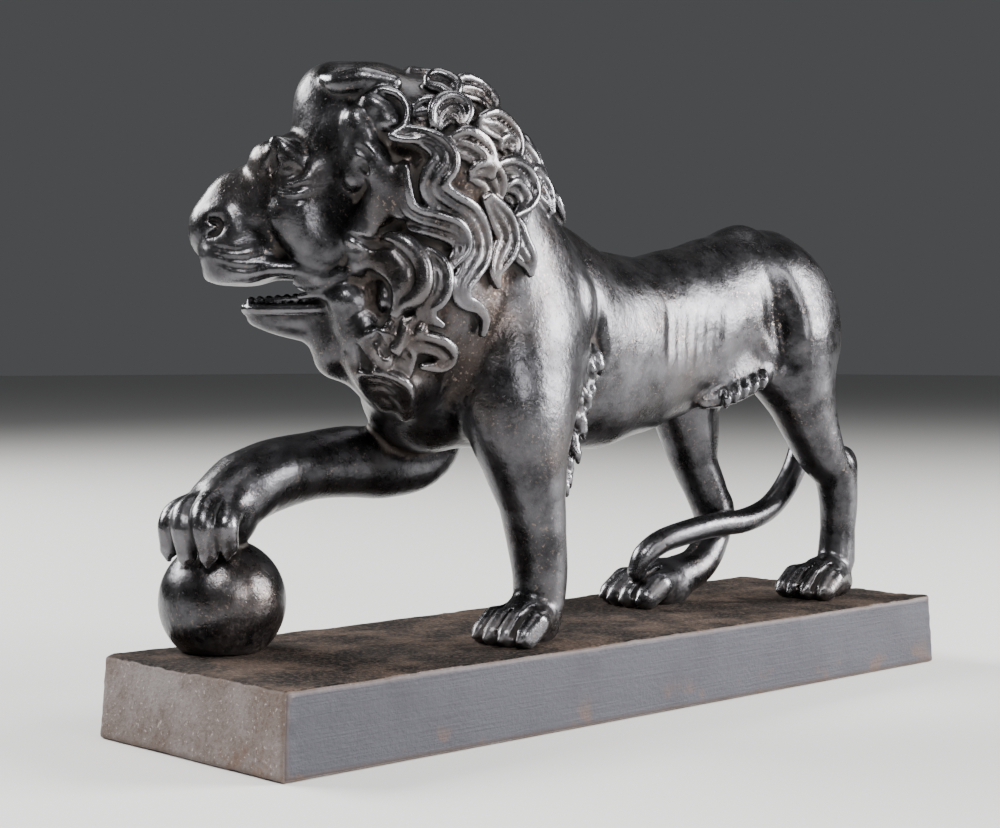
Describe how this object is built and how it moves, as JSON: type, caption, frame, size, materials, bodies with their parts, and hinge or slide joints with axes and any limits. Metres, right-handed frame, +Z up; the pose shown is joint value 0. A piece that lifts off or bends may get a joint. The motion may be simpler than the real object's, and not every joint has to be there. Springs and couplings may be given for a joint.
{
  "type": "cast iron lion statue",
  "caption": "Walking lion in dark cast iron, head turned, right fore paw on a ball, on a long low rectangular plinth.",
  "frame": {"origin": "centre of the plinth's underside, where the statue rests", "axes": "+X along the plinth towards the lion's tail, +Y towards the lion's right side, +Z up"},
  "size_m": [0.18, 0.054, 0.1196],
  "materials": {
    "lion_iron": "blackened and rubbed cast iron, silvery on the high places, with brown dust and rust in the hollows",
    "plinth_iron": "long sides ground to a dull blue-grey, ends and top left as sand cast, brown and dusty"
  },
  "bodies": {
    "root": {"lion_and_ball": "lion_iron", "plinth": "plinth_iron"}
  },
  "joints": []
}
